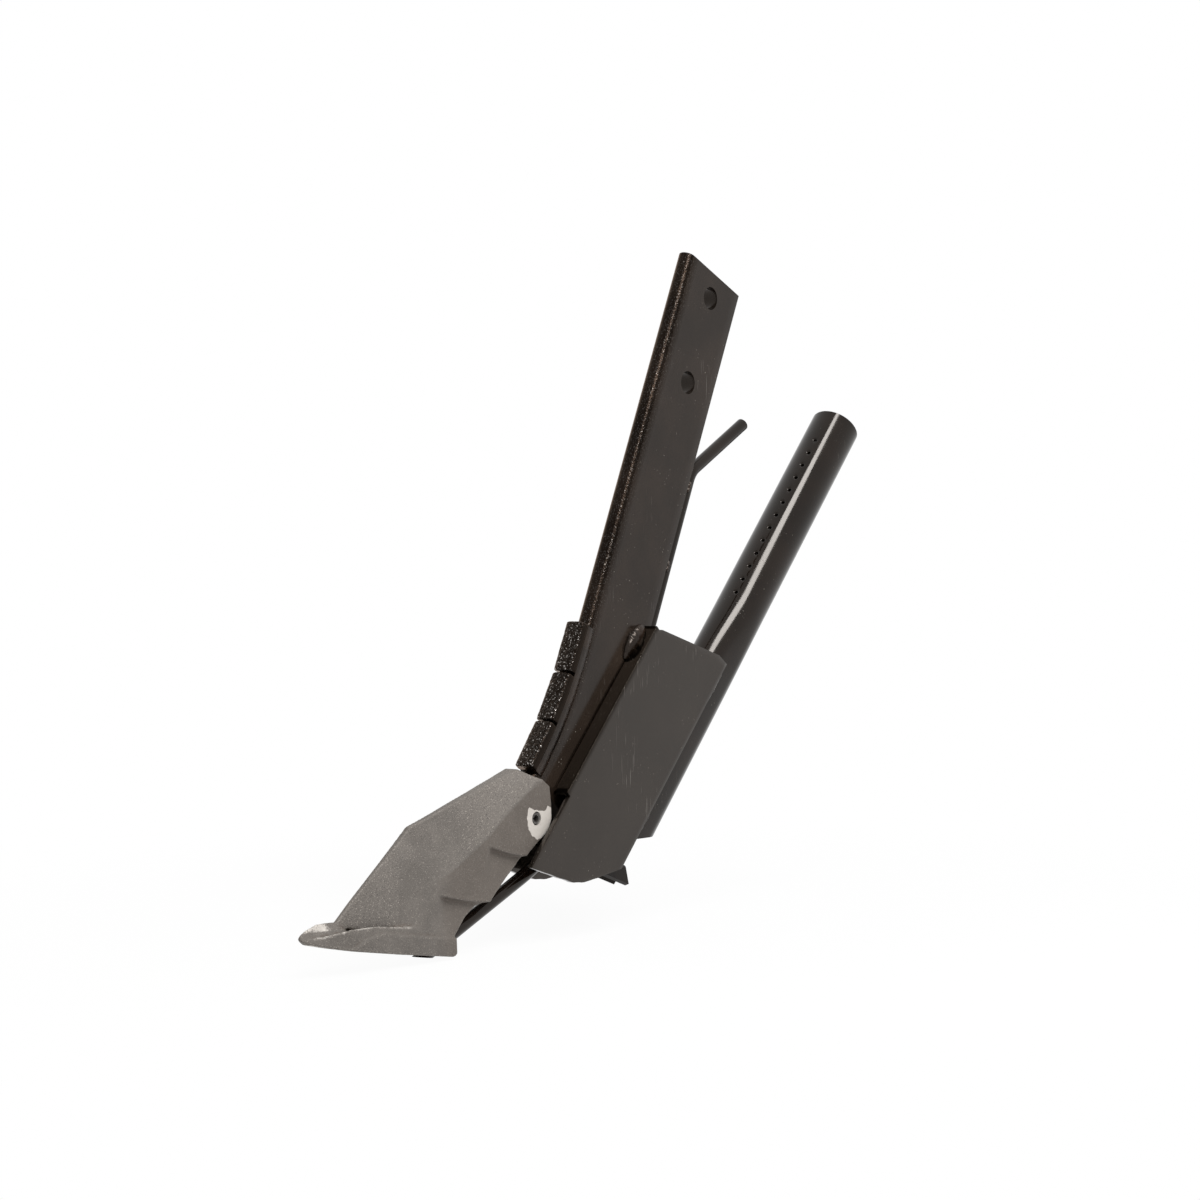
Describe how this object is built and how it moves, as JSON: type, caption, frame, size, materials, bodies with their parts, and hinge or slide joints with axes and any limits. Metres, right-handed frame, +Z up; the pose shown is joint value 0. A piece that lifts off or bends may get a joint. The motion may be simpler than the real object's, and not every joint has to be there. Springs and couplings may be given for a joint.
{
  "type": "seeding opener",
  "caption": "Seeding opener: bolted shank with a pinned cast digging point, welded wear bars, a liquid fertilizer tube and a two-plate boot carrying the seed tube.",
  "frame": {"origin": "centre of the two-bolt pattern, in the shank's middle plane", "axes": "+X the way the opener travels, +Y left, +Z up"},
  "size_m": [0.6315, 0.0382, 0.491],
  "materials": {
    "black_paint": "gloss black paint on a rolled bar",
    "plate_paint": "semi-gloss black paint on plate",
    "tube_paint": "gloss black paint on tube",
    "weld_paint": "gloss black paint over weld beads",
    "worn_black": "grainy hard-faced steel, dark",
    "cast_iron": "as-cast, fine grain",
    "pin_steel": "dark spring steel"
  },
  "bodies": {
    "opener": {"shank": "black_paint", "wear_bar_upper": "worn_black", "wear_bar_middle": "worn_black", "wear_bar_lower": "worn_black", "wear_weld_left": "weld_paint", "wear_weld_right": "weld_paint", "point": "cast_iron", "liquid_tube": "tube_paint", "liquid_tacks": "weld_paint", "boot_side_left": "plate_paint", "boot_side_right": "plate_paint", "boot_weld_left": "weld_paint", "boot_weld_right": "weld_paint", "seed_tube": "tube_paint", "seam_weld_left": "weld_paint", "seam_weld_right": "weld_paint", "deflector": "plate_paint", "deflector_strap": "plate_paint"},
    "pin": {"roll_pin": "pin_steel"}
  },
  "joints": [
    {"name": "roll_pin", "type": "slide", "parent": "opener", "child": "pin", "axis": [0, 1, 0], "range_m": [0, 0.03]}
  ]
}
